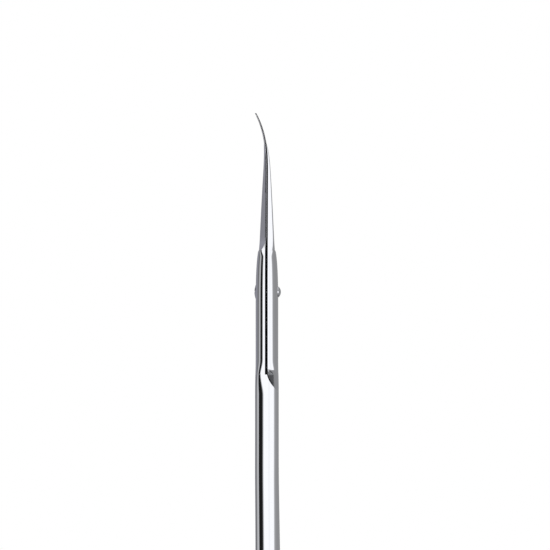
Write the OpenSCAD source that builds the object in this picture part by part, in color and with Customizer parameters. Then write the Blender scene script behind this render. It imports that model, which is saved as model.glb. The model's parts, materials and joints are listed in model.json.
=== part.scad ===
// Cuticle scissors, lying closed and flat with their curved tips up.
// Two forged halves cross at a screw. Millimetres, +Z up, +Y towards the tips.
// Shapes are drawn round the pivot and set down on the ground plane at the end.

/* [Overall] */
// Length from the tips to the far ends of the finger rings
overall_len = 110; // [108:0.5:114]
// Distance from the pivot to the tips
tip_reach = 31.3; // [30.5:0.1:32]
// Gap between the two halves where they face each other
face_gap = 0.045; // [0.03:0.005:0.06]

/* [Blades] */
// Length of a blade, from its tip to the flare of the joint
blade_len = 24; // [23.5:0.1:24.5]
// Thickness of one blade where it leaves the joint
blade_base_t = 1.27; // [1.2:0.01:1.35]
// Thickness of one blade at its tip
blade_tip_t = 0.12; // [0.12:0.01:0.18]
// Share of the blade's length that stays slender behind the tip
slender_share = 0.22; // [0.18:0.01:0.26]
// Width of a blade where it leaves the joint
blade_base_w = 6.3; // [5.8:0.1:6.6]
// Width of a blade at its tip
blade_tip_w = 0.36; // [0.3:0.02:0.6]
// Rise of the tips' upward curve
tip_lift = 1.99; // [1.6:0.01:2.2]
// Distance from the pivot at which that curve starts
tip_curve_start = 22; // [21:0.1:23]
// Share of the blade's width that the ground bevel takes
bevel_share = 0.5; // [0.4:0.05:0.6]

/* [Joint] */
// Width of the joint
joint_w = 7.5; // [7.2:0.1:7.8]
// Thickness of one half at the joint
joint_t = 1.94; // [1.9:0.01:1.98]
// Squareness of the joint's section, where 2 is an ellipse
joint_square = 2.7; // [2.5:0.1:3.2]
// Height of the eased edges where the two halves face each other
eased_h = 0.21; // [0.15:0.01:0.25]

/* [Shoulder] */
// Distance below the pivot at which a half starts to move over to its own side
shoulder_top = 12; // [11.6:0.1:12.4]
// Distance below the pivot at which each half has its full section
shoulder_end = 17.7; // [17.4:0.1:18]
// Clearance between the crossing halves at the shoulder
shoulder_gap = 0.25; // [0.2:0.05:0.4]

/* [Shanks] */
// Thickness of a shank
shank_t = 3.98; // [3.9:0.02:4.1]
// Width of a shank below the shoulder
shank_w = 4.1; // [3.8:0.1:4.3]
// Gap between the closed shanks
shank_gap = 0.3; // [0.2:0.05:0.5]

/* [Finger rings] */
// Inside width of a ring
ring_in_w = 20; // [19:0.5:21]
// Inside length of a ring
ring_in_l = 24.5; // [23.5:0.5:25.5]
// Width of the ring's stock
ring_stock_w = 3.3; // [3.1:0.1:3.6]
// Gap between the closed rings
ring_gap = 0.8; // [0.6:0.1:1.2]
// Depth of the flat ground on the underside of each ring
ring_land = 0.1; // [0.08:0.01:0.14]

/* [Pivot screw] */
// Diameter of the screw's head
head_d = 3.6; // [3.4:0.1:3.8]
// Height that the crown of the head stands above the joint
head_proud = 0.25; // [0.2:0.01:0.3]
// Diameter of the neck that the upper half turns on
neck_d = 2.2; // [2.1:0.05:2.4]
// Radial clearance of the upper half on the neck
neck_clear = 0.03; // [0.02:0.005:0.05]
// Diameter of the threaded end and its domed tail
thread_d = 1.85; // [1.7:0.05:1.95]
// Height that the tail stands below the joint
tail_proud = 0.5; // [0.45:0.01:0.55]
// Width of the driver slot
slot_w = 0.5; // [0.45:0.05:0.6]
// Direction of the driver slot
slot_turn = 25; // [0:5:180]

/* [Hidden] */
$fn = 48;
STEEL = [0.80, 0.81, 0.83];
SCREW_STEEL = [0.72, 0.73, 0.76];

half_gap = face_gap / 2;
// Set back of the lofted inner face from the plane that the shoulder cut leaves
face_skin = 0.003;
shank_r = shank_t / 2;
joint_hw = joint_w / 2;
flare_y = tip_reach - blade_len;
// The joint's flare rises over this length, in a quarter of an oval
flare_len = 9.5;
// The ground bevel ends here, and the line where it meets the joint runs back this far
bevel_end = flare_y + 2.7;
bevel_runout = 3;
// Between these places the section goes from the squared joint to the flat-faced blade
blade_square = 9;
square_from = flare_y - 1.2;
square_run = 4;
// The section grows squarer again where it widens into the shoulder
shoulder_square = 3.8;
shoulder_square_from = -10.2;
// Height of the narrow wall between the eased keen edge and the bevel
land_h = 0.025;
// The eased edges lean in by this share of their height
eased_lean = tan(30);
// Share of a blade's width on its spine side of the pivot
spine_share = 0.53;
// Thickness that a blade gains along its slender part, for its whole length
slender_gain = 0.35;
// A half turns away from the other one's side between these places
turn_from = -13.2;
turn_run = 4.3;
// Rows are full sections below here, and the shoulder cut starts just above them
full_from = turn_from;
cut_from = full_from + 0.04;
tail_z = -joint_t - tail_proud;

// The ring's centre line is an oval
ring_a = (ring_in_w + ring_stock_w) / 2;
ring_b = (ring_in_l + ring_stock_w) / 2;
ring_x = ring_gap / 2 + ring_stock_w / 2 + ring_a;
ring_y = tip_reach - overall_len + ring_stock_w / 2 + ring_b;
// The rounded edge of the handle takes this much of its width on each side
edge_w = ring_stock_w / 2 - 0.05;
// Below this place the handles bend down, so the rings lie level with the screw's tail
bend_y = -30;
bend_slope = (-shank_r - tail_z + ring_land) / (bend_y - (tip_reach - overall_len));

// The shanks spread apart and grow a little narrower below this place
spread_from = -18;
shank_thin = 0.3;
// The shank joins the ring inside the ring's own stock
shank_end = ring_y + ring_b - 1.6;
shank_join = ring_x - 7.2;
ring_fillet = 5;

// Screw: its seat in the upper half, play under the head, and crown
head_seat = 1.25;
head_play = 0.02;
head_z = joint_t + head_proud;
head_chord = 1.3;
crown_r = (pow(head_chord, 2) + pow(head_proud, 2)) / (2 * head_proud);
rim_z = head_z - crown_r + sqrt(pow(crown_r, 2) - pow(head_d / 2, 2));
slot_depth = 0.2;
dome_h = tail_proud - 0.12;

// Points up the keen wall, over the bevel and over the whole outer face, points along the inner face,
// and rows along each stretch
WALL = 3;
BEVEL = 4;
OUTER = 17;
INNER = 7;
BLADE_ROWS = 24;
JOINT_ROWS = 18;
SHANK_ROWS = 17;
SHOULDER_STEPS = 12;
RING_STEPS = 40;
EDGE_STEPS = 8;
CORE_STEPS = 8;
CURVE_STEPS = 8;
// Thickness of the thin plate that the handle is rounded from
core_h = 0.002;

function clamp01(t) = max(0, min(1, t));
function smooth(t) = let(c = clamp01(t)) c * c * (3 - 2 * c);
function mix(a, b, t) = a + (b - a) * t;
function power_sign(v, p) = sign(v) * pow(abs(v), p);

// Rise of the curved tips, by distance from the pivot axis, so the blades slide on each other
function tip_rise(r) =
    r <= tip_curve_start ? 0 : tip_lift * pow((r - tip_curve_start) / (tip_reach - tip_curve_start), 2.5);

// Share of a blade's length left to the tip
function blade_s(y) = clamp01((tip_reach - y) / blade_len);

// Thickness of one half along its length
function blade_t(y) =
    let(s = blade_s(y), body = pow(clamp01((s - slender_share) / (1 - slender_share)), 0.75))
    blade_tip_t + slender_gain * s + (blade_base_t - blade_tip_t - slender_gain) * body;
function joint_crest(y) =
    y > flare_y ? blade_t(y)
    : mix(blade_base_t, joint_t, sqrt(1 - pow(1 - clamp01((flare_y - y) / flare_len), 2.4)));
function crest(y) = mix(joint_crest(y), shank_r, smooth((-shoulder_top - y) / (shoulder_end - shoulder_top)));

// Spine side and keen side of a blade
function blade_spine(y) = -mix(blade_tip_w * 0.6, blade_base_w * spine_share, pow(blade_s(y), 0.92));
function blade_edge(y) = mix(blade_tip_w * 0.4, blade_base_w * (1 - spine_share), blade_s(y));

// Left and right side of a half, where its own side below the shoulder is to the right
function joint_side(y) =
    mix(blade_base_w / 2 + 0.12, joint_hw, smooth((flare_y + 1 - y) / 7))
    + 0.12 * sin(clamp01((flare_y - y) / 18) * 180);
function shank_left(y) =
    let(t = pow(clamp01((spread_from - y) / (spread_from - shank_end)), 2.1))
    mix(shank_gap / 2, shank_join - shank_w / 2, t);
function shank_width(y) = shank_w - shank_thin * smooth((spread_from - y) / 14);
function left_side(y) = mix(-joint_side(y), shank_left(y), smooth((turn_from - y) / turn_run));
function right_side(y) =
    mix(joint_side(y), shank_left(y) + shank_width(y), smooth((-shoulder_top + 1 - y) / 7));

// Left side, right side, height and squareness of the section above the parting plane
function body(y) =
    let(
        m = smooth((y - square_from) / square_run),
        square = mix(joint_square, shoulder_square, smooth((shoulder_square_from - y) / 3.5))
    )
    [mix(left_side(y), blade_spine(y), m), mix(right_side(y), blade_edge(y), m), crest(y),
        mix(square, blade_square, m)];

// A point of half a squared ellipse, and its height over the plane of the bevel
function body_point(b, a) =
    let(p = 2 / b[3])
    [(b[0] + b[1]) / 2 + (b[1] - b[0]) / 2 * power_sign(cos(a), p), b[2] * power_sign(sin(a), p)];
function over_bevel(b, a, foot, slope) =
    let(p = body_point(b, a)) p[1] - foot - (b[1] - p[0]) * slope;

// Angle between two others at which the section crosses the plane of the bevel, found by halving
function crossing(b, foot, slope, low, high, rises, steps = 22) =
    let(mid = (low + high) / 2)
    steps == 0 ? mid
    : (over_bevel(b, mid, foot, slope) > 0) == rises
        ? crossing(b, foot, slope, low, mid, rises, steps - 1)
        : crossing(b, foot, slope, mid, high, rises, steps - 1);

function eased(t) = min(eased_h, 0.7 * t);

// Outer points of blade and joint, from the keen side over the top, with the bevel ground off
function forged_outer(y) =
    let(
        b = body(y),
        keen = eased(b[2]),
        low = asin(pow(keen / b[2], b[3] / 2)),
        high = 180 - low,
        low_foot = keen + land_h,
        slope = (b[2] - low_foot) / ((b[1] - b[0]) * bevel_share),
        foot = mix(low_foot, b[2], 1 - sqrt(1 - pow(clamp01((bevel_end - y) / bevel_runout), 2))),
        tries = [for (i = [0:60]) mix(low, 90, i / 60)],
        heights = [for (a = tries) over_bevel(b, a, foot, slope)],
        most = max(heights),
        peak = [for (i = [0:60]) if (heights[i] == most) tries[i]][0],
        ground = most > 0.0001,
        start = ground ? crossing(b, foot, slope, low, peak, true) : peak,
        end = ground ? crossing(b, foot, slope, peak, 90, false) : peak + 4,
        even = smooth((6 - y) / 6)
    )
    [for (i = [0:OUTER - 1])
        let(
            near = i < WALL ? mix(low, start, i / (WALL - 1))
                : i < WALL + BEVEL ? mix(start, end, (i - WALL + 1) / BEVEL)
                : mix(end, high, (i - WALL - BEVEL + 1) / (OUTER - WALL - BEVEL)),
            flat = ground && i >= WALL && i < WALL + BEVEL
        )
        flat ? mix(body_point(b, start), body_point(b, end), (i - WALL + 1) / BEVEL)
        : body_point(b, mix(near, mix(low, high, i / (OUTER - 1)), even))];

// A point of the shank's section, which has a narrow flat between two rounded edges
function shank_point(y, a) =
    let(l = left_side(y), r = right_side(y), c = cos(a), way = c > 0.001 ? 1 : c < -0.001 ? -1 : 0)
    [(l + r) / 2 + edge_w * c + ((r - l) / 2 - edge_w) * way, shank_r * sin(a)];

// Outer points at any place, where the joint goes over into the shank below the crossing
function outer(y, full) =
    let(j = forged_outer(y), m = smooth((turn_from - y) / 4.8))
    full ? [for (i = [0:OUTER - 1]) mix(j[i], shank_point(y, 180 * i / (OUTER - 1)), m)] : j;

// Inner points, from the left side to the right: flat where the halves cross, full below
function inner(y, full) =
    let(o = forged_outer(y), lean = (o[0][1] - half_gap) * eased_lean)
    full
    ? [for (i = [1:INNER]) shank_point(y, 180 + 180 * i / (INNER + 1))]
    : [for (i = [0:INNER - 1])
        [mix(o[OUTER - 1][0] + lean, o[0][0] - lean, i / (INNER - 1)), half_gap + face_skin]];

// One cross-section, set in place for the upper half (side 1) or the lower half (side -1)
function stem_row(y, full, side) =
    [for (p = concat(outer(y, full), inner(y, full)))
        [side * p[0], y, side * p[1] + tip_rise(norm([p[0], y]) * (y > 0 ? 1 : 0))]];

function stem_rows(side) = concat(
    [for (i = [0:BLADE_ROWS]) stem_row(mix(tip_reach, flare_y, pow(i / BLADE_ROWS, 0.9)), false, side)],
    [for (i = [1:JOINT_ROWS]) stem_row(mix(flare_y, full_from, pow(i / JOINT_ROWS, 1.4)), false, side)],
    [for (i = [0:SHANK_ROWS]) stem_row(mix(full_from - 0.05, bend_y, pow(i / SHANK_ROWS, 1.15)), true, side)]
);

// Skin round rows of points, with both ends closed
module loft(rows) {
    n = len(rows[0]);
    m = len(rows);
    polyhedron(
        points = [for (r = rows) each r],
        faces = concat(
            [for (k = [0:m - 2], i = [0:n - 1])
                let(a = k * n + i, b = k * n + (i + 1) % n)
                each [[a, b + n, b], [a, a + n, b + n]]],
            [[for (i = [0:n - 1]) i], [for (i = [n - 1:-1:0]) (m - 1) * n + i]]
        ),
        convexity = 6
    );
}

// Blade, joint and the top of the shank
module stem(side) { loft(stem_rows(side)); }

// Core line of the handle, drawn at the full width less its rounded edges
module ring_core(grow) {
    translate([ring_x, ring_y])
        polygon([for (i = [0:RING_STEPS - 1])
            let(a = 360 * i / RING_STEPS) [(ring_a + grow) * cos(a), (ring_b + grow) * sin(a)]]);
}
module shank_core() {
    ys = [for (i = [0:CORE_STEPS]) mix(bend_y + 2, shank_end, i / CORE_STEPS)];
    polygon(concat(
        [for (y = ys) [shank_left(y) + edge_w, y]],
        [for (i = [CORE_STEPS:-1:0]) [shank_left(ys[i]) + shank_width(ys[i]) - edge_w, ys[i]]]
    ));
}
module handle_core() {
    difference() {
        offset(r = -ring_fillet, $fn = 24) offset(delta = ring_fillet) {
            ring_core(0.05);
            shank_core();
        }
        ring_core(-0.05);
    }
}

// Lower shank and finger ring: the core line rounded to the section of the shank, then bent down
module handle(side) {
    multmatrix([[side, 0, 0, 0], [0, 1, 0, 0], [0, bend_slope, 1, -bend_slope * bend_y], [0, 0, 0, 1]])
        intersection() {
            minkowski() {
                linear_extrude(height = core_h, center = true) handle_core();
                rotate_extrude($fn = 12)
                    polygon([for (i = [0:EDGE_STEPS])
                        let(a = 180 * i / EDGE_STEPS - 90)
                        [max(0, edge_w * cos(a)), (shank_r - core_h / 2) * sin(a)]]);
            }
            translate([-10, bend_y - 100, -10]) cube([60, 100, 20]);
        }
}

// Cuts the lower side of the shank away where the other half crosses over
module shoulder_cut() {
    far = 6;
    ramp = [for (i = [0:SHOULDER_STEPS])
        let(t = i / SHOULDER_STEPS)
        [mix(full_from - 0.1, -shoulder_end, t), half_gap - (shank_r + 0.3) * pow(t, 2.4)]];
    rotate([90, 0, 90])
        linear_extrude(height = 4 * joint_w, center = true)
            polygon(concat([[cut_from, -far], [cut_from, half_gap]], ramp, [[-shoulder_end, -far]]));
    side = [for (i = [0:SHOULDER_STEPS])
        let(y = mix(full_from, -shoulder_top - 5, i / SHOULDER_STEPS))
        [shoulder_gap - left_side(y), y]];
    translate([0, 0, half_gap - far])
        linear_extrude(height = far)
            polygon(concat([[-2 * joint_w, cut_from], [shoulder_gap - left_side(full_from), cut_from]], side,
                [[-2 * joint_w, -shoulder_top - 5]]));
}

// One half with its shoulder cut, round the pivot and without its hole
module half_body(side) {
    difference() {
        union() {
            stem(side);
            handle(side);
        }
        // For the lower half the cut is turned half round about the long axis
        multmatrix([[side, 0, 0, 0], [0, 1, 0, 0], [0, 0, side, 0], [0, 0, 0, 1]]) shoulder_cut();
        // Flat land on the underside of the ring
        translate([-40, tip_reach - overall_len - 5, tail_z - 5]) cube([80, 50, 5]);
    }
}

// Sets the pivot's frame down: origin under the middle of the length, at the level of the table
module seated() { translate([0, overall_len / 2 - tip_reach, -tail_z]) children(); }

module upper_half() {
    color(STEEL) seated() difference() {
        half_body(1);
        translate([0, 0, -2]) cylinder(d = neck_d + 2 * neck_clear, h = 6);
        translate([0, 0, head_seat]) cylinder(d = head_d + 0.1, h = 3);
    }
}

module lower_half() {
    color(STEEL) seated() difference() {
        half_body(-1);
        translate([0, 0, -4]) cylinder(d = thread_d, h = 6);
    }
}

module pivot_screw() {
    tail_r = thread_d / 2;
    dome_r = (pow(tail_r, 2) + pow(dome_h, 2)) / (2 * dome_h);
    crown_end = asin(head_d / 2 / crown_r);
    dome_end = asin(tail_r / dome_r);
    color(SCREW_STEEL) seated() difference() {
        rotate_extrude()
            polygon(concat(
                [for (i = [0:CURVE_STEPS])
                    let(a = crown_end * i / CURVE_STEPS)
                    [crown_r * sin(a), head_z - crown_r + crown_r * cos(a)]],
                [
                    [head_d / 2, head_seat + head_play],
                    [neck_d / 2, head_seat + head_play],
                    [neck_d / 2, -half_gap],
                    [tail_r, -half_gap]
                ],
                [for (i = [CURVE_STEPS:-1:0])
                    let(a = dome_end * i / CURVE_STEPS)
                    [dome_r * sin(a), tail_z + dome_r - dome_r * cos(a)]]
            ));
        rotate([0, 0, slot_turn])
            translate([-head_d, -slot_w / 2, rim_z - slot_depth]) cube([2 * head_d, slot_w, 2]);
    }
}

upper_half();
lower_half();
pivot_screw();
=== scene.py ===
"""Cuticle scissors in polished steel: two forged halves, crossed at a slotted screw.

Every shape is worked out round the pivot in millimetres, in the frame of the closed tool: +Y towards the
tips, +Z the way the tips curve, +X to the side of the upper half's finger ring. Workshop.place() then sets
it down in the row frame, in metres.
"""
import json
import logging
import math
from collections.abc import Callable
from dataclasses import dataclass, field
from enum import Enum

import bmesh
import bpy
import numpy as np
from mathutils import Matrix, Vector
from mathutils.geometry import tessellate_polygon


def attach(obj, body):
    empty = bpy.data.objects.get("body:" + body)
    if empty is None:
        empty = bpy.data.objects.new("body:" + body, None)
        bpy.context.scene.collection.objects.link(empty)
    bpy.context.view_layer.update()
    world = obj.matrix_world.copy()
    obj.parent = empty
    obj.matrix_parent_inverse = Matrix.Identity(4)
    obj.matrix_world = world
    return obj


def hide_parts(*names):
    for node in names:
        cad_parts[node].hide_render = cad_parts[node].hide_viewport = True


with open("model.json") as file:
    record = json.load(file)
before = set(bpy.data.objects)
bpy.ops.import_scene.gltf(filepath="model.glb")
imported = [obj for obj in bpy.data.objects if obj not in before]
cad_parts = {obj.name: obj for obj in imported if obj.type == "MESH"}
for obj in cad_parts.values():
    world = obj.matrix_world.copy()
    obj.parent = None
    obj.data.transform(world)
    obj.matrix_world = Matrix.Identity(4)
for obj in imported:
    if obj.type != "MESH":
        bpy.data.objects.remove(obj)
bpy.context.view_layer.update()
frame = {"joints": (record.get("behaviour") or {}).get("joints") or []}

log = logging.getLogger("cuticle_scissors")
MM = 0.001


class Side(Enum):
    """Which half a shape belongs to. The value turns the lower half round the long axis."""

    UPPER = 1
    LOWER = -1


def clamp01(t: np.ndarray | float) -> np.ndarray | float:
    """Limits a value to the range from 0 to 1."""
    return np.clip(t, 0.0, 1.0)


def smooth(t: np.ndarray | float) -> np.ndarray | float:
    """Goes smoothly from 0 to 1 as t does."""
    c = clamp01(t)
    return c * c * (3 - 2 * c)


def mix(a: float, b: float, t: float) -> float:
    """Goes in a straight line from a to b as t goes from 0 to 1."""
    return a + (b - a) * t


def signed_power(v: np.ndarray, p: float) -> np.ndarray:
    """Raises the size of v to a power and keeps its sign."""
    return np.sign(v) * np.abs(v) ** p


@dataclass
class Workshop:
    """Places finished shapes in the row frame and turns point grids into Blender objects.

    Args:
        pivot: The pivot's place in the row frame, in metres.
    """

    pivot: Vector

    def place(self, points: np.ndarray) -> np.ndarray:
        """Moves points from the pivot's frame in millimetres to the row frame in metres.

        Args:
            points: One row of x, y and z for each point.

        Returns:
            The points in the row frame.
        """
        return points * MM + np.array(self.pivot)

    def make(self, name: str, points: np.ndarray, faces: list[tuple[int, ...]]) -> bpy.types.Object:
        """Makes a mesh object from points round the pivot.

        Args:
            name: The object's name.
            points: Points in the pivot's frame, in millimetres.
            faces: Point numbers of each face.

        Returns:
            The new object, at the origin, with its place in its mesh.
        """
        mesh = bpy.data.meshes.new(name)
        mesh.from_pydata([tuple(p) for p in self.place(points)], [], faces)
        mesh.validate()
        obj = bpy.data.objects.new(name, mesh)
        bpy.context.scene.collection.objects.link(obj)
        return obj

    def tidy(self, obj: bpy.types.Object, merge: float, inside_out: bool = False) -> None:
        """Merges doubled points and points every face outwards.

        Args:
            obj: The object to tidy.
            merge: Distance within which points merge, in metres.
            inside_out: Turns every face round at the end.
        """
        work = bmesh.new()
        work.from_mesh(obj.data)
        bmesh.ops.remove_doubles(work, verts=work.verts, dist=merge)
        bmesh.ops.dissolve_degenerate(work, edges=work.edges, dist=merge * 0.5)
        bmesh.ops.recalc_face_normals(work, faces=work.faces)
        if work.calc_volume(signed=True) < 0 or inside_out:
            bmesh.ops.reverse_faces(work, faces=work.faces)
        work.to_mesh(obj.data)
        work.free()

    def cut(self, obj: bpy.types.Object, cutter: bpy.types.Object) -> None:
        """Cuts one closed object out of another and deletes the cutter.

        Args:
            obj: The object that is cut.
            cutter: The object that is taken away.
        """
        modifier = obj.modifiers.new("cut", "BOOLEAN")
        modifier.operation = "DIFFERENCE"
        modifier.solver = "EXACT"
        modifier.object = cutter
        self.apply(obj)
        bpy.data.objects.remove(cutter)

    def apply(self, obj: bpy.types.Object) -> None:
        """Turns an object's modifiers into plain mesh and removes them."""
        graph = bpy.context.evaluated_depsgraph_get()
        mesh = bpy.data.meshes.new_from_object(obj.evaluated_get(graph), depsgraph=graph)
        obj.modifiers.clear()
        old = obj.data
        obj.data = mesh
        bpy.data.meshes.remove(old)

    def shade(self, obj: bpy.types.Object, sharp_deg: float) -> None:
        """Shades an object smooth, but for edges sharper than an angle in degrees."""
        obj.data.shade_smooth()
        obj.data.set_sharp_from_angle(angle=math.radians(sharp_deg))


@dataclass
class ForgedHalf:
    """One half: blade, joint, shank and finger ring in one forging. Sizes are in millimetres."""

    side: Side
    name: str
    overall_len: float = 110.0
    tip_reach: float = 31.3
    face_gap: float = 0.045
    joint_bow: float = 0.12
    bow_len: float = 18.0
    turn_in: float = 7.0
    blade_len: float = 24.0
    blade_base_t: float = 1.35
    blade_tip_t: float = 0.14
    blade_swell: float = 0.65
    neck_share: float = 0.22
    neck_slope: float = 0.35
    blade_base_w: float = 6.3
    blade_tip_w: float = 0.36
    spine_share: float = 0.53
    tip_share: float = 0.6
    tip_lift: float = 1.99
    tip_curve_start: float = 20.0
    bevel_share: float = 0.5
    joint_w: float = 7.5
    joint_t: float = 1.96
    joint_square: float = 2.7
    shoulder_square: float = 4.3
    square_lead: float = 1.2
    square_len: float = 4.0
    shoulder_from: float = -11.8
    shoulder_len: float = 3.2
    flare_len: float = 9.5
    shoulder_top: float = 12.0
    shoulder_end: float = 17.7
    shoulder_gap: float = 0.25
    ramp_top: float = -13.3
    ramp_more: float = 0.45
    ramp_power: float = 2.05
    shank_t: float = 3.98
    shank_w: float = 4.1
    shank_gap: float = 0.3
    shank_thin: float = 0.3
    spread_y: float = -18.0
    spread_power: float = 2.1
    core_w: float = 0.05
    edge_power: float = 1.11
    bend_y: float = -30.0
    ring_in_w: float = 20.0
    ring_in_l: float = 24.5
    ring_stock_w: float = 3.3
    ring_gap: float = 0.8
    ring_land: float = 0.1
    ring_fillet: float = 5.0
    tail_z: float = -2.44
    neck_d: float = 2.26
    head_seat_d: float = 3.7
    head_seat_z: float = 1.25
    thread_d: float = 1.85
    quarter: int = 20
    inner_z: float = 0.012
    full_from: float = -14.3
    land_h: float = 0.025
    blade_square: float = 14.0
    chamfer_h: float = 0.24
    chamfer_deg: float = 30.0
    keen_h: float = 0.05
    keen_lead: float = 2.6
    keen_len: float = 2.0
    bevel_end: float = 10.0
    bevel_runout: float = 3.0
    turn_away: float = 13.2
    turn_len: float = 4.3
    round_len: float = 4.8
    nook_y: float = -14.3
    nook_low: float = -18.5
    nook_top: float = 1.4
    # Strength of the painted shade in the nook under the crossing.
    nook_shade_depth: float = 0.64

    def __post_init__(self) -> None:
        """Works out the sizes that follow from the driving ones."""
        self.half_gap = self.face_gap / 2
        self.shank_r = self.shank_t / 2
        self.flare_y = self.tip_reach - self.blade_len
        self.ring_a = (self.ring_in_w + self.ring_stock_w) / 2
        self.ring_b = (self.ring_in_l + self.ring_stock_w) / 2
        self.ring_x = self.ring_gap / 2 + self.ring_stock_w / 2 + self.ring_a
        self.ring_y = self.tip_reach - self.overall_len + self.ring_stock_w / 2 + self.ring_b
        self.edge_w = self.ring_stock_w / 2 - self.core_w
        self.shank_end = self.ring_y + self.ring_b - 1.6
        self.shank_join = self.ring_x - 7.2
        low_end = self.tip_reach - self.overall_len
        self.bend_slope = (-self.shank_r - self.tail_z + self.ring_land) / (self.bend_y - low_end)

    def tip_rise(self, r: np.ndarray) -> np.ndarray:
        """Rise of the curved tips at a distance from the pivot axis."""
        run = np.maximum(r - self.tip_curve_start, 0.0)
        return self.tip_lift * (run / (self.tip_reach - self.tip_curve_start)) ** 3

    def blade_left(self, y: float) -> float:
        """Share of the blade's length that is left to the tip."""
        return float(clamp01((self.tip_reach - y) / self.blade_len))

    def blade_t(self, y: float) -> float:
        """Thickness of one blade at a place along its length."""
        s = self.blade_left(y)
        body = float(clamp01((s - self.neck_share) / (1 - self.neck_share))) ** self.blade_swell
        gain = self.blade_base_t - self.blade_tip_t - self.neck_slope
        return self.blade_tip_t + self.neck_slope * s + gain * body

    def crest(self, y: float) -> float:
        """Height of the outer face above the parting plane."""
        if y > self.flare_y:
            high = self.blade_t(y)
        else:
            rest = 1 - float(clamp01((self.flare_y - y) / self.flare_len))
            high = mix(self.blade_base_t, self.joint_t, math.sqrt(1 - rest**2.4))
        gone = (-self.shoulder_top - y) / (self.shoulder_end - self.shoulder_top)
        return mix(high, self.shank_r, float(smooth(gone)))

    def spine(self, y: float) -> float:
        """Place of a blade's spine across its width."""
        share = self.spine_share
        return -mix(self.blade_tip_w * self.tip_share, self.blade_base_w * share, self.blade_left(y) ** 0.92)

    def edge(self, y: float) -> float:
        """Place of a blade's cutting edge across its width."""
        tip, base = self.blade_tip_w * (1 - self.tip_share), self.blade_base_w * (1 - self.spine_share)
        return mix(tip, base, self.blade_left(y))

    def joint_side(self, y: float) -> float:
        """Half the joint's width."""
        start = self.blade_base_w / 2 + self.joint_bow
        flare = mix(start, self.joint_w / 2, float(smooth((self.flare_y + 1 - y) / self.turn_in)))
        return flare + self.joint_bow * math.sin(math.pi * float(clamp01((self.flare_y - y) / self.bow_len)))

    def shank_left(self, y: float) -> float:
        """Inner side of the shank."""
        low = self.shank_gap / 2
        reach = self.shank_join - self.shank_w / 2 - low
        gone = float(clamp01((self.spread_y - y) / (self.spread_y - self.shank_end)))
        return low + reach * gone**self.spread_power

    def shank_right(self, y: float) -> float:
        """Outer side of the shank."""
        return self.shank_left(y) + self.shank_w - self.shank_thin * float(smooth((self.spread_y - y) / 14))

    def left_side(self, y: float) -> float:
        """Left side of the joint and shank, where this half's own ring is to the right."""
        gone = float(smooth((-self.turn_away - y) / self.turn_len))
        return mix(-self.joint_side(y), self.shank_left(y), gone)

    def right_side(self, y: float) -> float:
        """Right side of the joint and shank."""
        gone = float(smooth((-self.shoulder_top + 1 - y) / self.turn_in))
        return mix(self.joint_side(y), self.shank_right(y), gone)

    def shank_arc(self, y: float, start: float, end: float, count: int) -> np.ndarray:
        """Points on one quarter of the shank's section, which has a narrow flat between rounded edges.

        Args:
            y: Place along the shank.
            start: First angle in degrees.
            end: Last angle in degrees.
            count: Number of points.

        Returns:
            Points across and up.
        """
        left, right = self.left_side(y), self.right_side(y)
        flat = (right - left) / 2 - self.edge_w
        a = np.radians(np.linspace(start, end, count))
        sign = 1.0 if math.cos(math.radians((start + end) / 2)) > 0 else -1.0
        out = self.edge_w * signed_power(np.cos(a), self.edge_power)
        up = self.shank_r * signed_power(np.sin(a), self.edge_power)
        return np.column_stack([(left + right) / 2 + sign * flat + out, up])

    def shank_outer(self, y: float) -> np.ndarray:
        """Upper points of the shank's section, from the right side over the top."""
        n = self.quarter + 1
        return np.vstack([self.shank_arc(y, 0, 90, n), self.shank_arc(y, 90, 180, n)])

    def shank_inner(self, y: float) -> np.ndarray:
        """Lower points of the shank's section, from the left side round the bottom."""
        n = self.quarter + 1
        return np.vstack([self.shank_arc(y, 180, 270, n)[1:], self.shank_arc(y, 270, 360, n)[:-1]])

    def body_sides(self, y: float) -> tuple[float, float, float, float]:
        """Left side, right side, height and squareness of the forging above the parting plane."""
        m = float(smooth((y - (self.flare_y - self.square_lead)) / self.square_len))
        low = float(smooth((self.shoulder_from - y) / self.shoulder_len))
        square = mix(self.joint_square, self.shoulder_square, low)
        left = mix(self.left_side(y), self.spine(y), m)
        right = mix(self.right_side(y), self.edge(y), m)
        return left, right, self.crest(y), mix(square, self.blade_square, m)

    def chamfer_height(self, top: float) -> float:
        """Height of the eased edge beside the parting plane."""
        return min(self.chamfer_h, 0.7 * top)

    def keen_height(self, y: float, top: float) -> float:
        """Height of the edge on the keen side, which is sharp along the ground bevel."""
        gone = float(smooth((y - self.bevel_end + self.keen_lead) / self.keen_len))
        return mix(self.chamfer_height(top), self.keen_h, gone)

    def forged_outer(self, y: float) -> np.ndarray:
        """Outer points of blade and joint: a squared ellipse, ground flat by the blade's bevel.

        Args:
            y: Place along the half.

        Returns:
            Points from the keen side, over the top, to the eased edge on the other side.
        """
        left, right, top, square = self.body_sides(y)
        power = 2 / square
        low = math.asin((self.keen_height(y, top) / top) ** (1 / power))
        high = math.pi - math.asin((self.chamfer_height(top) / top) ** (1 / power))

        def at(a: np.ndarray) -> np.ndarray:
            across = (left + right) / 2 + (right - left) / 2 * signed_power(np.cos(a), power)
            return np.column_stack([across, top * signed_power(np.sin(a), power)])

        n_wall, n_bevel = 12, 12
        n_rest = 2 * self.quarter + 2 - n_wall - n_bevel
        keen = self.keen_height(y, top) + self.land_h
        raised = 1 - math.sqrt(1 - float(clamp01((self.bevel_end - y) / self.bevel_runout)) ** 2)
        foot = mix(keen, top, raised)
        slope = (top - keen) / ((right - left) * self.bevel_share)

        def over(a: float) -> float:
            across, up = at(np.array([a]))[0]
            return up - foot - (right - across) * slope

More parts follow.
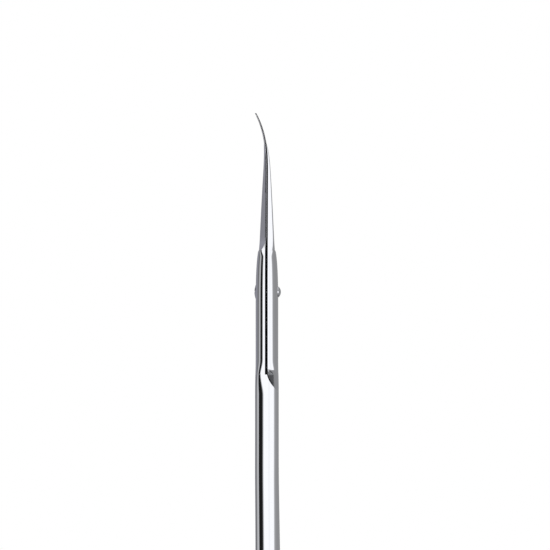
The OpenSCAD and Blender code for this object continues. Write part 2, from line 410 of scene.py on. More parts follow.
        tries = np.linspace(low, math.pi / 2, 241)
        heights = [over(float(a)) for a in tries]
        peak = float(tries[int(np.argmax(heights))])
        if max(heights) > 0.0001:
            start = self.crossing(over, low, peak, True)
            end = self.crossing(over, peak, math.pi / 2, False)
            wall = at(np.linspace(low, start, n_wall))
            bevel = mix(wall[-1], at(np.array([end]))[0], np.linspace(0, 1, n_bevel + 1)[1:, None])
            return np.vstack([wall, bevel, at(np.linspace(end, high, n_rest + 1)[1:])])
        near = np.concatenate([
            np.linspace(low, peak, n_wall),
            np.linspace(peak, peak + 0.07, n_bevel + 1)[1:],
            np.linspace(peak + 0.07, high, n_rest + 1)[1:],
        ])
        even = float(smooth((6 - y) / 6))
        return at(mix(near, np.linspace(low, high, len(near)), even))

    def crossing(self, over: Callable[[float], float], low: float, high: float, rises: bool) -> float:
        """Finds by halving where a height changes sign between two angles.

        Args:
            over: Height at an angle.
            low: Lower angle.
            high: Upper angle.
            rises: Whether the height goes from below nought to above it.

        Returns:
            The angle.
        """
        for _ in range(40):
            mid = (low + high) / 2
            if (over(mid) > 0) == rises:
                high = mid
            else:
                low = mid
        return (low + high) / 2

    def outer(self, y: float, full: bool) -> np.ndarray:
        """Outer points at any place along the half.

        Args:
            y: Place along the half.
            full: Section of the shank, which has no eased edge.

        Returns:
            Points across and up.
        """
        if not full:
            return self.forged_outer(y)
        m = float(smooth((-self.turn_away - y) / self.round_len))
        return mix(self.forged_outer(y), self.shank_outer(y), m)

    def inner(self, outer: np.ndarray) -> np.ndarray:
        """Flat inner points, from the foot of the eased edge to the keen side."""
        left, right = outer[-1], outer[0]
        g = self.inner_z
        lean = math.tan(math.radians(self.chamfer_deg))
        n_flat = 2 * self.quarter
        start = left[0] + (left[1] - g) * lean
        end = right[0] - (right[1] - g) * lean
        return np.column_stack([mix(start, end, np.linspace(0, 1, n_flat)), np.full(n_flat, g)])

    def row(self, y: float, full: bool) -> np.ndarray:
        """One cross-section of the stem, set in place for this half.

        Args:
            y: Place along the half.
            full: Full section of the shank, where the shoulder is cut from it later.

        Returns:
            Points round the section, in the pivot's frame.
        """
        outer = self.outer(y, full)
        section = np.vstack([outer, self.shank_inner(y) if full else self.inner(outer)])
        s = self.side.value
        rise = self.tip_rise(np.hypot(section[:, 0], y)) if y > 0 else 0.0
        return np.column_stack([s * section[:, 0], np.full(len(section), y), s * section[:, 1] + rise])

    def stem_rows(self) -> list[np.ndarray]:
        """Rows from the tip down to the bend of the handle."""
        blade = mix(self.tip_reach, self.flare_y, np.linspace(0, 1, 121) ** 0.9)
        joint = mix(self.flare_y, self.full_from, np.linspace(0, 1, 91)[1:] ** 1.5)
        shank = mix(self.full_from - 0.05, self.bend_y, np.linspace(0, 1, 121))
        crossing = [self.row(float(y), False) for y in [*blade, *joint]]
        return crossing + [self.row(float(y), True) for y in shank]

    def core_curve(self, kind: str, t: float) -> tuple[np.ndarray, np.ndarray]:
        """A point of the handle's core line and its outward normal.

        Args:
            kind: Which stretch: left or right of the shank, or the ring.
            t: Place along the shank, or angle round the ring.

        Returns:
            The point and its normal, both across and along.
        """
        if kind == "ring":
            a, b = self.ring_a + self.core_w, self.ring_b + self.core_w
            normal = np.array([math.cos(t) / a, math.sin(t) / b])
            point = np.array([self.ring_x + a * math.cos(t), self.ring_y + b * math.sin(t)])
            return point, normal / np.linalg.norm(normal)
        step = 0.01
        if kind == "left":
            place = self.shank_left(t) + self.edge_w
            slope = (self.shank_left(t + step) - self.shank_left(t - step)) / (2 * step)
            normal = np.array([-1.0, slope])
        else:
            place = self.shank_right(t) - self.edge_w
            slope = (self.shank_right(t + step) - self.shank_right(t - step)) / (2 * step)
            normal = np.array([1.0, -slope])
        level = float(smooth((self.bend_y - t) / 3))
        normal = np.array([normal[0], normal[1] * level])
        return np.array([place, t]), normal / np.linalg.norm(normal)

    def fillet(self, kind: str, ring_from: float, ring_to: float) -> tuple[float, float, np.ndarray]:
        """Finds the round that blends one side of the shank into the ring.

        Args:
            kind: Side of the shank.
            ring_from: First angle of the ring that is searched.
            ring_to: Last angle of the ring that is searched.

        Returns:
            The place on the shank, the angle on the ring, and the middle of the round.
        """
        y_low, y_high = self.shank_end, self.bend_y - 4
        a_low, a_high = ring_from, ring_to
        best = (y_low, a_low)
        for _ in range(9):
            ys = np.linspace(y_low, y_high, 41)
            angles = np.linspace(a_low, a_high, 41)
            side = [self.core_curve(kind, float(y)) for y in ys]
            ring = [self.core_curve("ring", float(a)) for a in angles]
            p = np.array([c[0] + self.ring_fillet * c[1] for c in side])
            q = np.array([c[0] + self.ring_fillet * c[1] for c in ring])
            gap = np.linalg.norm(p[:, None] - q[None], axis=2)
            i, j = np.unravel_index(np.argmin(gap), gap.shape)
            best = (float(ys[i]), float(angles[j]))
            y_low, y_high = best[0] - (y_high - y_low) / 12, best[0] + (y_high - y_low) / 12
            a_low, a_high = best[1] - (a_high - a_low) / 12, best[1] + (a_high - a_low) / 12
        point, normal = self.core_curve(kind, best[0])
        return best[0], best[1], point + self.ring_fillet * normal

    def core_outline(self) -> tuple[np.ndarray, np.ndarray]:
        """Outer core line of the handle, down the left of the shank, round the ring and up the right.

        Returns:
            Points and their outward normals.
        """
        left_y, left_a, left_c = self.fillet("left", math.radians(100), math.radians(170))
        right_y, right_a, right_c = self.fillet("right", math.radians(45), math.radians(125))
        items = [self.core_curve("left", float(y)) for y in np.linspace(self.bend_y, left_y, 61)]
        items += self.round_points(left_c, items[-1][1], self.core_curve("ring", left_a)[1], 25)
        items += [self.core_curve("ring", float(a)) for a in np.linspace(left_a, right_a + 2 * math.pi, 301)]
        items += self.round_points(right_c, items[-1][1], self.core_curve("right", right_y)[1], 25)
        items += [self.core_curve("right", float(y)) for y in np.linspace(right_y, self.bend_y, 61)]
        return np.array([i[0] for i in items]), np.array([i[1] for i in items])

    def round_points(self, middle: np.ndarray, start: np.ndarray, end: np.ndarray, count: int) -> list:
        """Points inside one fillet, between the normals where it leaves its two neighbours."""
        a = math.atan2(start[1], start[0])
        b = math.atan2(end[1], end[0])
        turn = (b - a + math.pi) % (2 * math.pi) - math.pi
        items = []
        for k in range(1, count):
            angle = a + turn * k / count
            normal = np.array([math.cos(angle), math.sin(angle)])
            items.append((middle - self.ring_fillet * normal, normal))
        return items

    def handle_mesh(self) -> tuple[np.ndarray, list[tuple[int, ...]]]:
        """Rounded band round the core line and round the hole, joined by two narrow flats."""
        outline, outward = self.core_outline()
        t = np.linspace(0, 2 * math.pi, 257)[:-1]
        a, b = self.ring_a - self.core_w, self.ring_b - self.core_w
        hole = np.column_stack([self.ring_x + a * np.cos(t), self.ring_y + b * np.sin(t)])
        inward = -np.column_stack([np.cos(t) / a, np.sin(t) / b])
        inward /= np.linalg.norm(inward, axis=1)[:, None]
        phi = np.radians(np.linspace(-90, 90, 2 * self.quarter + 1))
        out = self.edge_w * signed_power(np.cos(phi).clip(0), self.edge_power)
        edge = np.column_stack([out, self.shank_r * signed_power(np.sin(phi), self.edge_power)])
        points: list[np.ndarray] = []
        faces: list[tuple[int, ...]] = []
        starts = []
        for line, normal, closed in ((outline, outward, False), (hole, inward, True)):
            base = len(points)
            starts.append(base)
            n = len(edge)
            for p, d in zip(line, normal):
                for out, up in edge:
                    spot = p + d * out
                    points.append(np.array([spot[0], spot[1], up]))
            m = len(line)
            for k in range(m if closed else m - 1):
                for i in range(n - 1):
                    c = base + k * n + i
                    d = base + ((k + 1) % m) * n + i
                    faces.append((c, d, d + 1, c + 1))
        n = len(edge)
        loops = [[Vector((*p, 0)) for p in outline], [Vector((*p, 0)) for p in hole]]
        number = [starts[0] + k * n for k in range(len(outline))]
        number += [starts[1] + k * n for k in range(len(hole))]
        for tri in tessellate_polygon(loops):
            low = tuple(number[i] for i in tri)
            faces.append(low)
            faces.append(tuple(i + n - 1 for i in low))
        return np.array(points), faces

    def settle_handle(self, points: np.ndarray) -> np.ndarray:
        """Bends the handle down towards the ring and grinds the flat on the ring's underside."""
        ease = 4.0
        run = np.maximum(self.bend_y - points[:, 1], 0.0)
        drop = self.bend_slope * np.where(run < ease, run**2 / (2 * ease), run - ease / 2)
        z = np.maximum(points[:, 2] - drop, self.tail_z)
        return np.column_stack([points[:, 0], points[:, 1], z])

    def body(self, shop: Workshop) -> bpy.types.Object:
        """Builds the whole half without its cuts."""
        rows = self.stem_rows()
        n, m = len(rows[0]), len(rows)
        stem = np.vstack(rows)
        faces = [
            (k * n + i, k * n + (i + 1) % n, (k + 1) * n + (i + 1) % n, (k + 1) * n + i)
            for k in range(m - 1)
            for i in range(n)
        ]
        faces.append(tuple(range(n)))
        handle, more = self.handle_mesh()
        handle = self.settle_handle(handle)
        handle[:, 0] *= self.side.value
        base = len(stem)
        faces += [tuple(base + i for i in f) for f in more]
        obj = shop.make(self.name, np.vstack([stem, handle]), faces)
        shop.tidy(obj, 2e-6)
        return obj

    def mark_painted_shade(self, shop: Workshop, obj: bpy.types.Object) -> None:
        """Marks where shade is painted near-black: the eased edges beside the parting plane, where the
        seam's shadow and dark reflection fall, and, fading in, the faces that turn back in the nook under
        the crossing.

        Args:
            shop: Where the half stands.
            obj: The finished half.
        """
        mark = obj.data.attributes.new("painted_shade", "FLOAT", "FACE")
        for face in obj.data.polygons:
            x, y, z = (np.array(face.center) - np.array(shop.pivot)) / MM
            rise = float(self.tip_rise(np.array(math.hypot(x, y)))) if y > 0 else 0.0
            height = (z - rise) * self.side.value
            lean = abs(face.normal.z)
            low = self.inner_z < height < self.chamfer_h
            # Painted shade: the eased edges beside the parting plane get the full near-black colour.
            eased = low and y > self.full_from - 0.1 and 0.1 < lean < 0.95
            # Painted shade in the nook under the crossing, on the faces that turn back, fading in over 0.3
            # mm.
            deep = smooth((self.nook_y - y) / 0.3) * smooth((self.nook_top - height) / 0.3)
            nook_shade = self.nook_shade_depth * float(deep)
            turned = face.normal.y < -0.35 and y > self.nook_low
            mark.data[face.index].value = 1.0 if eased else nook_shade if turned else 0.0

    def shoulder_cutter(self, shop: Workshop) -> list[bpy.types.Object]:
        """Blocks that cut away the lower side of the shank where the other half crosses over."""
        far, top = 6.0, self.half_gap
        steps = np.linspace(0, 1, 61)
        start = self.full_from + 0.04
        ramp_y = mix(start - 0.1, -self.shoulder_end, steps)
        gone = (self.ramp_top - ramp_y) / (self.ramp_top + self.shoulder_end)
        ramp_z = top - (self.shank_r + self.ramp_more) * gone**self.ramp_power
        profile = [(start, -far), (start, top), *zip(ramp_y, ramp_z), (-self.shoulder_end, -far)]
        ramp = [np.array([x, y, z]) for x in (-15.0, 15.0) for y, z in profile]
        side_y = mix(self.full_from, -self.shoulder_top - 5, steps)
        side = [(self.shoulder_gap - self.left_side(float(y)), float(y)) for y in side_y]
        nest_line = [(-15.0, start), (side[0][0], start), *side, (-15.0, float(side_y[-1]))]
        nest = [np.array([x, y, z]) for z in (top - far, top) for x, y in nest_line]
        made = []
        for name, corners, count in (("ramp", ramp, len(profile)), ("nest", nest, len(nest_line))):
            faces = [tuple(range(count)), tuple(range(count, 2 * count))]
            faces += [(i, (i + 1) % count, count + (i + 1) % count, count + i) for i in range(count)]
            points = np.array(corners) * np.array([self.side.value, 1, self.side.value])
            block = shop.make(f"{self.name}_{name}_cutter", points, faces)
            shop.tidy(block, 1e-7)
            made.append(block)
        return made

    def cylinder(self, shop: Workshop, d: float, low: float, high: float) -> bpy.types.Object:
        """A round cutter on the pivot axis."""
        t = np.linspace(0, 2 * math.pi, 129)[:-1]
        ring = np.column_stack([d / 2 * np.cos(t), d / 2 * np.sin(t)])
        points = np.vstack([np.column_stack([ring, np.full(128, z)]) for z in (low, high)])
        faces = [tuple(range(128)), tuple(range(128, 256))]
        faces += [(i, (i + 1) % 128, 128 + (i + 1) % 128, 128 + i) for i in range(128)]
        cutter = shop.make(f"{self.name}_bore_cutter", points, faces)
        shop.tidy(cutter, 1e-7)
        return cutter

    def build(self, shop: Workshop) -> bpy.types.Object:
        """Builds the half, cuts its shoulder and holes, and shades it."""
        obj = self.body(shop)
        for block in self.shoulder_cutter(shop):
            shop.cut(obj, block)
        if self.side is Side.UPPER:
            shop.cut(obj, self.cylinder(shop, self.neck_d, -1.0, 4.0))
            shop.cut(obj, self.cylinder(shop, self.head_seat_d, self.head_seat_z, 4.0))
        else:
            shop.cut(obj, self.cylinder(shop, self.thread_d, -4.0, 1.0))
        shop.tidy(obj, 1e-6)
        shop.shade(obj, 14)
        # Paints shade near-black on the eased edges and in the nook.
        self.mark_painted_shade(shop, obj)
        return obj


@dataclass
class PivotScrew:
    """Slotted screw: crowned head, plain neck, threaded end and domed tail. Sizes are in millimetres."""

    name: str = "screw"
    head_d: float = 3.6
    head_top: float = 2.19
    crown_proud: float = 0.25
    crown_chord: float = 1.3
    head_seat: float = 1.27
    neck_d: float = 2.2
    thread_d: float = 1.85
    tail_z: float = -2.44
    tail_dome: float = 0.38
    face_z: float = -0.0225
    slot_w: float = 0.5
    slot_turn: float = 25.0
    slot_z: float = 1.49
    clear_z: float = 4.0
    edge_r: float = 0.06

    def profile(self) -> np.ndarray:
        """Half outline of the turned screw: distance from the axis, and height."""
        crown_r = (self.crown_chord**2 + self.crown_proud**2) / (2 * self.crown_proud)
        end = math.asin((self.head_d / 2 - self.edge_r) / crown_r)
        a = np.linspace(0, end, 25)
        crown = np.column_stack([crown_r * np.sin(a), self.head_top - crown_r + crown_r * np.cos(a)])
        turn = np.linspace(math.pi / 2 - end, 0, 8)[1:]
        rim_z = crown[-1][1] - self.edge_r * math.cos(end)
        rim_x = self.head_d / 2 - self.edge_r
        rim = np.column_stack([rim_x + self.edge_r * np.cos(turn), rim_z + self.edge_r * np.sin(turn)])
        tail_r = self.thread_d / 2
        dome_r = (tail_r**2 + self.tail_dome**2) / (2 * self.tail_dome)
        b = np.linspace(math.asin(tail_r / dome_r), 0, 21)
        dome = np.column_stack([dome_r * np.sin(b), self.tail_z + dome_r - dome_r * np.cos(b)])
        middle = np.array([
            [self.head_d / 2, self.head_seat],
            [self.neck_d / 2, self.head_seat],
            [self.neck_d / 2, self.face_z],
            [tail_r, self.face_z],
        ])
        return np.vstack([crown, rim, middle, dome])

    def turning_tree(self, points: int) -> bpy.types.NodeTree:
        """Node tree that turns an outline of edges round the Z axis.

        Args:
            points: Number of points in the outline.

        Returns:
            The tree, with inputs for the steps round and the material.
        """
        tree = bpy.data.node_groups.new("turned_outline", "GeometryNodeTree")
        for name, way, kind in (
            ("Outline", "INPUT", "Geometry"),
            ("Steps round", "INPUT", "Int"),
            ("Axis", "INPUT", "Vector"),
            ("Finish", "INPUT", "Material"),
            ("Turned", "OUTPUT", "Geometry"),
        ):
            tree.interface.new_socket(name, in_out=way, socket_type="NodeSocket" + kind)
        add = tree.nodes.new
        link = tree.links.new
        given = add("NodeGroupInput")
        out = add("NodeGroupOutput")

        def sum_of(kind: str, first: bpy.types.NodeSocket, second: object = 0.0) -> bpy.types.NodeSocket:
            node = add("ShaderNodeMath")
            node.operation = kind
            link(first, node.inputs[0])
            if isinstance(second, (int, float)):
                node.inputs[1].default_value = second
            else:
                link(second, node.inputs[1])
            return node.outputs[0]

        steps = given.outputs["Steps round"]
        grid = add("GeometryNodeMeshGrid")
        grid.inputs["Vertices Y"].default_value = points
        link(sum_of("ADD", steps, 1), grid.inputs["Vertices X"])
        index = add("GeometryNodeInputIndex").outputs[0]
        whole = sum_of("FLOOR", sum_of("DIVIDE", index, points))
        row = sum_of("MODULO", index, points)
        angle = sum_of("MULTIPLY", sum_of("DIVIDE", whole, steps), 2 * math.pi)
        place = add("GeometryNodeInputPosition")
        sample = add("GeometryNodeSampleIndex")
        sample.data_type = "FLOAT_VECTOR"
        link(given.outputs["Outline"], sample.inputs["Geometry"])
        link(place.outputs[0], sample.inputs["Value"])
        link(row, sample.inputs["Index"])
        turn = add("ShaderNodeVectorRotate")
        turn.rotation_type = "Z_AXIS"
        link(sample.outputs["Value"], turn.inputs["Vector"])
        link(given.outputs["Axis"], turn.inputs["Center"])
        link(angle, turn.inputs["Angle"])
        move = add("GeometryNodeSetPosition")
        link(grid.outputs["Mesh"], move.inputs["Geometry"])
        link(turn.outputs["Vector"], move.inputs["Position"])
        merge = add("GeometryNodeMergeByDistance")
        merge.inputs["Distance"].default_value = 1e-7
        link(move.outputs["Geometry"], merge.inputs["Geometry"])
        real = add("GeometryNodeRealizeInstances")
        link(merge.outputs["Geometry"], real.inputs["Geometry"])
        dress = add("GeometryNodeSetMaterial")
        link(real.outputs["Geometry"], dress.inputs["Geometry"])
        link(given.outputs["Finish"], dress.inputs["Material"])
        link(dress.outputs["Geometry"], out.inputs["Turned"])
        return tree

    def build(self, shop: Workshop, finish: bpy.types.Material) -> bpy.types.Object:
        """Turns the screw, cuts its slot and shades it."""
        outline = self.profile()
        points = np.column_stack([outline[:, 0], np.zeros(len(outline)), outline[:, 1]])
        mesh = bpy.data.meshes.new(self.name)
        edges = [(i, i + 1) for i in range(len(points) - 1)]
        mesh.from_pydata([tuple(p) for p in shop.place(points)], edges, [])
        obj = bpy.data.objects.new(self.name, mesh)
        bpy.context.scene.collection.objects.link(obj)
        tree = self.turning_tree(len(points))
        modifier = obj.modifiers.new("turned", "NODES")
        modifier.node_group = tree
        names = {s.name: s.identifier for s in tree.interface.items_tree if s.in_out == "INPUT"}
        modifier[names["Steps round"]] = 128
        modifier[names["Axis"]] = tuple(shop.pivot)
        modifier[names["Finish"]] = finish
        shop.apply(obj)
        shop.tidy(obj, 1e-7)
        shop.cut(obj, self.slot_cutter(shop))
        shop.tidy(obj, 1e-7)
        shop.shade(obj, 30)
        return obj

    def slot_cutter(self, shop: Workshop) -> bpy.types.Object:
        """Block that cuts the driver slot."""
        half_l, half_w = self.head_d, self.slot_w / 2
        turn = math.radians(self.slot_turn)
        c, s = math.cos(turn), math.sin(turn)
        corners = []
        for z in (self.slot_z, self.clear_z):
            for x, y in ((-half_l, -half_w), (half_l, -half_w), (half_l, half_w), (-half_l, half_w)):
                corners.append([x * c - y * s, x * s + y * c, z])
        faces = [(0, 1, 2, 3), (4, 5, 6, 7), (0, 1, 5, 4), (1, 2, 6, 5), (2, 3, 7, 6), (3, 0, 4, 7)]
        cutter = shop.make("slot_cutter", np.array(corners), faces)
        shop.tidy(cutter, 1e-7)
        return cutter


class Grain(Enum):
    """Direction of the fine lines that polishing leaves, as stretches along X, Y and Z."""

    ALONG = (1.0, 0.05, 1.0)
    ACROSS = (0.06, 1.0, 1.0)
    NONE = (1.0, 1.0, 1.0)


def polish_group() -> bpy.types.NodeTree:
    """Shader node group for polishing marks: fine lines and soft waves, as a height and a roughness."""
    tree = bpy.data.node_groups.new("polishing_marks", "ShaderNodeTree")
    face = tree.interface
    for name, kind, value in (
        ("Stretch", "NodeSocketVector", (1, 1, 1)),
        ("Line scale", "NodeSocketFloat", 20000.0),
        ("Roughness low", "NodeSocketFloat", 0.05),
        ("Roughness high", "NodeSocketFloat", 0.1),
    ):
        socket = face.new_socket(name, in_out="INPUT", socket_type=kind)
        socket.default_value = value
    face.new_socket("Height", in_out="OUTPUT", socket_type="NodeSocketFloat")
    face.new_socket("Roughness", in_out="OUTPUT", socket_type="NodeSocketFloat")
    add = tree.nodes.new
    link = tree.links.new
    given = add("NodeGroupInput")
    out = add("NodeGroupOutput")
    place = add("ShaderNodeTexCoord")
    stretch = add("ShaderNodeVectorMath")
    stretch.operation = "MULTIPLY"
    link(place.outputs["Object"], stretch.inputs[0])
    link(given.outputs["Stretch"], stretch.inputs[1])
    lines = add("ShaderNodeTexNoise")
    lines.inputs["Detail"].default_value = 3
    link(stretch.outputs[0], lines.inputs["Vector"])
    link(given.outputs["Line scale"], lines.inputs["Scale"])
    patches = add("ShaderNodeTexNoise")
    patches.inputs["Scale"].default_value = 420
    patches.inputs["Detail"].default_value = 2
    link(place.outputs["Object"], patches.inputs["Vector"])
    both = add("ShaderNodeMix")
    both.inputs["Factor"].default_value = 0.45
    link(lines.outputs["Fac"], both.inputs["A"])
    link(patches.outputs["Fac"], both.inputs["B"])
    rough = add("ShaderNodeMapRange")
    rough.inputs["From Min"].default_value = 0.35
    rough.inputs["From Max"].default_value = 0.65
    link(both.outputs["Result"], rough.inputs["Value"])
    link(given.outputs["Roughness low"], rough.inputs["To Min"])
    link(given.outputs["Roughness high"], rough.inputs["To Max"])
    link(lines.outputs["Fac"], out.inputs["Height"])
    link(rough.outputs["Result"], out.inputs["Roughness"])
    return tree


@dataclass(frozen=True)
class SteelFinish:
    """A finish of stainless steel."""

    name: str
    color: tuple[float, float, float]
    grain: Grain
    line_scale: float
    line_height: float
    roughness: tuple[float, float]

    def material(self, marks: bpy.types.NodeTree) -> bpy.types.Material:
        """Makes the material, which paints shade near-black on the marked faces.

        Args:
            marks: The shared group for polishing marks.

        Returns:
            The new material.
        """
        made = bpy.data.materials.new(self.name)
        made.use_nodes = True
        nodes, links = made.node_tree.nodes, made.node_tree.links
        surface = nodes["Principled BSDF"]
        # Painted shade: the marked faces take a near-black colour in place of the steel's own.
        painted_shade = nodes.new("ShaderNodeAttribute")
        painted_shade.attribute_name = "painted_shade"
        painted_shade_mix = nodes.new("ShaderNodeMix")
        painted_shade_mix.data_type = "RGBA"
        painted_shade_mix.inputs[6].default_value = (*self.color, 1)
        # Near-black colour of the painted shade.
        painted_shade_mix.inputs[7].default_value = (0.005, 0.005, 0.006, 1)
        links.new(painted_shade.outputs["Fac"], painted_shade_mix.inputs["Factor"])
        links.new(painted_shade_mix.outputs[2], surface.inputs["Base Color"])
        surface.inputs["Metallic"].default_value = 1.0
        group = nodes.new("ShaderNodeGroup")
        group.node_tree = marks
        group.inputs["Stretch"].default_value = self.grain.value
        group.inputs["Line scale"].default_value = self.line_scale
        group.inputs["Roughness low"].default_value = self.roughness[0]
        group.inputs["Roughness high"].default_value = self.roughness[1]
        bump = nodes.new("ShaderNodeBump")
        bump.inputs["Strength"].default_value = 1.0
        bump.inputs["Distance"].default_value = self.line_height
        links.new(group.outputs["Height"], bump.inputs["Height"])
        links.new(bump.outputs["Normal"], surface.inputs["Normal"])
        links.new(group.outputs["Roughness"], surface.inputs["Roughness"])
        return made


POLISHED = SteelFinish("polished_steel", (0.80, 0.81, 0.83), Grain.ALONG, 9000.0, 1.5e-8, (0.04, 0.08))
SCREW = SteelFinish("screw_steel", (0.74, 0.75, 0.78), Grain.NONE, 9000.0, 1.5e-8, (0.05, 0.1))


@dataclass
class Studio:
    """White studio: floor, lamps, surrounding softboxes and the camera of the photograph."""

    pivot: Vector
    distance: float = 0.7
    turn_deg: float = 1.6
    frame_px: int = 550
    mm_per_px: float = 0.175
    pivot_px: tuple[float, float] = (266.95, 292.0)
    sensor_mm: float = 36.0
    blue: float = 1.02
    floor_half: float = 1.5
    floor_lift: float = 0.42
    lamp_size: float = 0.5
    lamp_power: float = 3.0

    def camera(self) -> bpy.types.Object:
        """Makes the camera: edge on, with the tips up and the way they curve to the left."""
        turn = math.radians(self.turn_deg)
        towards = Vector((math.cos(turn), 0, -math.sin(turn)))
        right = Vector((-math.sin(turn), 0, -math.cos(turn)))
        up = Vector((0, 1, 0))
        middle = self.frame_px / 2
        aim = self.pivot + right * (middle - self.pivot_px[0]) * self.mm_per_px * MM
        aim += up * (self.pivot_px[1] - middle) * self.mm_per_px * MM
        data = bpy.data.cameras.new("camera")
        data.sensor_width = self.sensor_mm
        data.lens = self.sensor_mm * self.distance / (self.frame_px * self.mm_per_px * MM)
        data.clip_start = 0.01
        data.clip_end = 20
        obj = bpy.data.objects.new("camera", data)
        bpy.context.scene.collection.objects.link(obj)
        obj.location = aim + towards * self.distance
        basis = [right, up, towards]
        for column, axis in enumerate(basis):
            for row in range(3):
                obj.matrix_world[row][column] = axis[row]
        obj.matrix_world.translation = aim + towards * self.distance
        bpy.context.scene.camera = obj
        return obj

    def world(self) -> None:
        """Surrounds the object with softboxes and dark panels, and shows white to the camera."""
        world = bpy.data.worlds.new("studio")
        bpy.context.scene.world = world
        world.use_nodes = True
        nodes, links = world.node_tree.nodes, world.node_tree.links
        nodes.clear()
        turn = math.radians(self.turn_deg)
        place = nodes.new("ShaderNodeTexCoord")
        towards = self.dot(nodes, links, place, (math.cos(turn), 0, -math.sin(turn)))
        right = self.dot(nodes, links, place, (-math.sin(turn), 0, -math.cos(turn)))
        angle = nodes.new("ShaderNodeMath")
        angle.operation = "ARCTAN2"
        links.new(right, angle.inputs[0])
        links.new(towards, angle.inputs[1])
        share = self.span(nodes, links, angle.outputs[0], math.pi)
        ramp = nodes.new("ShaderNodeValToRGB")
        stops = (
            (-180, 0.21), (-160, 0.26, 1.14), (-146, 0.33, 1.14), (-134, 0.24, 1.08), (-124, 0.18),
            (-113, 0.17), (-105, 0.46), (-80, 0.62), (-76, 0.012), (-45, 0.012), (-39, 0.25), (-33, 0.95),
            (-28, 1.2), (18, 1.2), (27, 1.08), (36, 1.2), (69, 1.2), (76, 0.6), (84, 0.42), (96, 0.34),
            (110, 0.34), (130, 0.31), (180, 0.3),
        )
        self.fill_ramp(ramp, stops)
        links.new(share, ramp.inputs["Fac"])
        ends = self.span(nodes, links, self.dot(nodes, links, place, (0, 1, 0)), 1)
        cover = nodes.new("ShaderNodeValToRGB")
        self.fill_steps(cover, ((-0.5, 1), (-0.3, 0), (0.36, 0), (0.5, 1)))
        links.new(ends, cover.inputs["Fac"])
        tone = nodes.new("ShaderNodeValToRGB")
        self.fill_steps(tone, (
            (-0.96, 0.03), (-0.88, 0.3), (-0.3, 0.3), (0.36, 0.05), (0.5, 0.08), (0.62, 0.5), (1, 0.7),
        ))
        links.new(ends, tone.inputs["Fac"])
        blend = nodes.new("ShaderNodeMix")
        blend.data_type = "RGBA"
        links.new(cover.outputs["Color"], blend.inputs["Factor"])
        links.new(ramp.outputs["Color"], blend.inputs[6])
        links.new(tone.outputs["Color"], blend.inputs[7])
        softboxes = nodes.new("ShaderNodeBackground")
        links.new(blend.outputs[2], softboxes.inputs["Color"])
        white = nodes.new("ShaderNodeBackground")
        white.inputs["Color"].default_value = (1, 1, 1, 1)
        path = nodes.new("ShaderNodeLightPath")
        choose = nodes.new("ShaderNodeMixShader")
        links.new(path.outputs["Is Camera Ray"], choose.inputs[0])
        links.new(softboxes.outputs[0], choose.inputs[1])
        links.new(white.outputs[0], choose.inputs[2])
        out = nodes.new("ShaderNodeOutputWorld")
        links.new(choose.outputs[0], out.inputs["Surface"])

    def span(self, nodes: bpy.types.Nodes, links: bpy.types.NodeLinks, value: bpy.types.NodeSocket,
             reach: float) -> bpy.types.NodeSocket:
        """Adds the share of the way from minus a reach to plus that reach."""
        node = nodes.new("ShaderNodeMapRange")
        node.inputs["From Min"].default_value = -reach
        node.inputs["From Max"].default_value = reach
        links.new(value, node.inputs["Value"])
        return node.outputs[0]

    def dot(self, nodes: bpy.types.Nodes, links: bpy.types.NodeLinks, place: bpy.types.Node,
            axis: tuple[float, float, float]) -> bpy.types.NodeSocket:
        """Adds the part of the view direction that lies along an axis."""
        node = nodes.new("ShaderNodeVectorMath")
        node.operation = "DOT_PRODUCT"
        node.inputs[1].default_value = axis
        links.new(place.outputs["Generated"], node.inputs[0])
        return node.outputs["Value"]

    def fill_steps(self, ramp: bpy.types.Node, stops: tuple[tuple[float, float], ...]) -> None:
        """Sets a colour ramp from heights along the long axis, from -1 to 1, and grey levels."""
        self.fill_ramp(ramp, tuple((180 * height, level) for height, level in stops))

    def fill_ramp(self, ramp: bpy.types.Node, stops: tuple[tuple[float, ...], ...]) -> None:
        """Sets a colour ramp from angles in degrees and grey levels, some with their own share of blue."""
        band = ramp.color_ramp
        while len(band.elements) > 1:
            band.elements.remove(band.elements[-1])
        for k, (angle, level, *own) in enumerate(stops):
            item = band.elements[0] if k == 0 else band.elements.new((angle + 180) / 360)
            item.position = (angle + 180) / 360
            blue = own[0] if own else self.blue
            item.color = (level, level, level * blue, 1)

    def floor(self) -> bpy.types.Object:
        """Pale floor that keeps shadows and is clear from below."""
        size = self.floor_half
        mesh = bpy.data.meshes.new("floor")
        corners = [(-size, -size, 0), (size, -size, 0), (size, size, 0), (-size, size, 0)]
        mesh.from_pydata(corners, [], [(0, 1, 2, 3)])
        obj = bpy.data.objects.new("floor", mesh)
        bpy.context.scene.collection.objects.link(obj)
        made = bpy.data.materials.new("floor")
        made.use_nodes = True
        nodes, links = made.node_tree.nodes, made.node_tree.links
        nodes.clear()
        paper = nodes.new("ShaderNodeBsdfDiffuse")
        paper.inputs["Color"].default_value = (0.8, 0.8, 0.8, 1)
        lift = nodes.new("ShaderNodeEmission")
        lift.inputs["Color"].default_value = (1, 1, 1, 1)
        path = nodes.new("ShaderNodeLightPath")
        strength = nodes.new("ShaderNodeMath")
        strength.operation = "MULTIPLY"
        strength.inputs[1].default_value = self.floor_lift
        links.new(path.outputs["Is Camera Ray"], strength.inputs[0])
        links.new(strength.outputs[0], lift.inputs["Strength"])
        both = nodes.new("ShaderNodeAddShader")
        links.new(paper.outputs[0], both.inputs[0])
        links.new(lift.outputs[0], both.inputs[1])
        clear = nodes.new("ShaderNodeBsdfTransparent")
        back = nodes.new("ShaderNodeNewGeometry")
        see = nodes.new("ShaderNodeMath")
        see.operation = "MAXIMUM"
        links.new(back.outputs["Backfacing"], see.inputs[0])
        links.new(path.outputs["Is Glossy Ray"], see.inputs[1])
        choose = nodes.new("ShaderNodeMixShader")
        links.new(see.outputs[0], choose.inputs[0])
        links.new(both.outputs[0], choose.inputs[1])
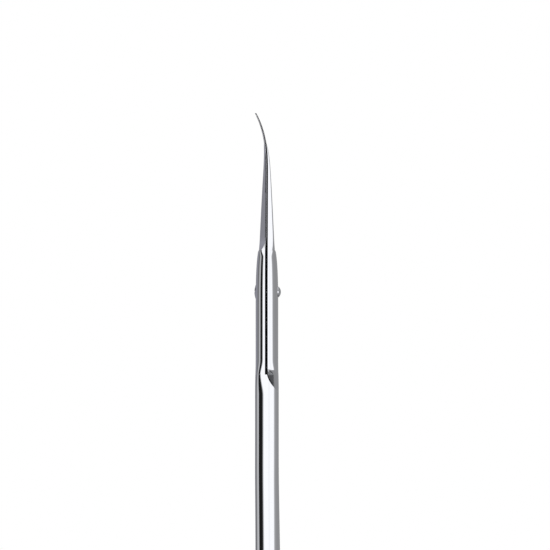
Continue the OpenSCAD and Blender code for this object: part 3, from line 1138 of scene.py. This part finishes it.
        links.new(clear.outputs[0], choose.inputs[2])
        out = nodes.new("ShaderNodeOutputMaterial")
        links.new(choose.outputs[0], out.inputs["Surface"])
        obj.data.materials.append(made)
        return obj

    def lamps(self) -> None:
        """Soft area lamp from above, which gives the shadow its direction and isn't seen in the steel."""
        data = bpy.data.lights.new("top_softbox", "AREA")
        data.shape = "SQUARE"
        data.size = self.lamp_size
        data.energy = self.lamp_power
        obj = bpy.data.objects.new("top_softbox", data)
        bpy.context.scene.collection.objects.link(obj)
        obj.location = (0.25, -0.2, 0.7)
        obj.rotation_euler = (obj.location.to_track_quat("Z", "Y")).to_euler()
        obj.visible_glossy = False


@dataclass
class CuticleScissors:
    """The whole tool."""

    shop: Workshop
    pieces: list[bpy.types.Object] = field(default_factory=list)

    def build(self) -> None:
        """Builds and dresses every piece and hangs it on its body."""
        marks = polish_group()
        polished = POLISHED.material(marks)
        screw_steel = SCREW.material(marks)
        for side, name, node, body in (
            (Side.UPPER, "upper_forging", "upper_half", "upper"),
            (Side.LOWER, "lower_forging", "lower_half", "lower"),
        ):
            obj = ForgedHalf(side, name).build(self.shop)
            obj.data.materials.clear()
            obj.data.materials.append(polished)
            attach(obj, body)
            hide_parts(node)
            self.report(obj)
        screw = PivotScrew().build(self.shop, screw_steel)
        screw.data.materials.clear()
        screw.data.materials.append(screw_steel)
        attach(screw, "lower")
        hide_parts("pivot_screw")
        self.report(screw)

    def report(self, obj: bpy.types.Object) -> None:
        """Logs a finished piece and keeps it."""
        self.pieces.append(obj)
        log.info("%s: %d points, %d faces", obj.name, len(obj.data.vertices), len(obj.data.polygons))


def main() -> None:
    """Builds the tool and the studio, in order."""
    logging.basicConfig(level=logging.INFO, format="%(message)s")
    pivot = Vector(frame["joints"][0]["pos_m"])
    studio = Studio(pivot)
    studio.camera()
    studio.world()
    studio.floor()
    studio.lamps()
    CuticleScissors(Workshop(pivot)).build()
    bpy.context.scene.view_settings.view_transform = "Standard"


if __name__ == "__main__":
    main()
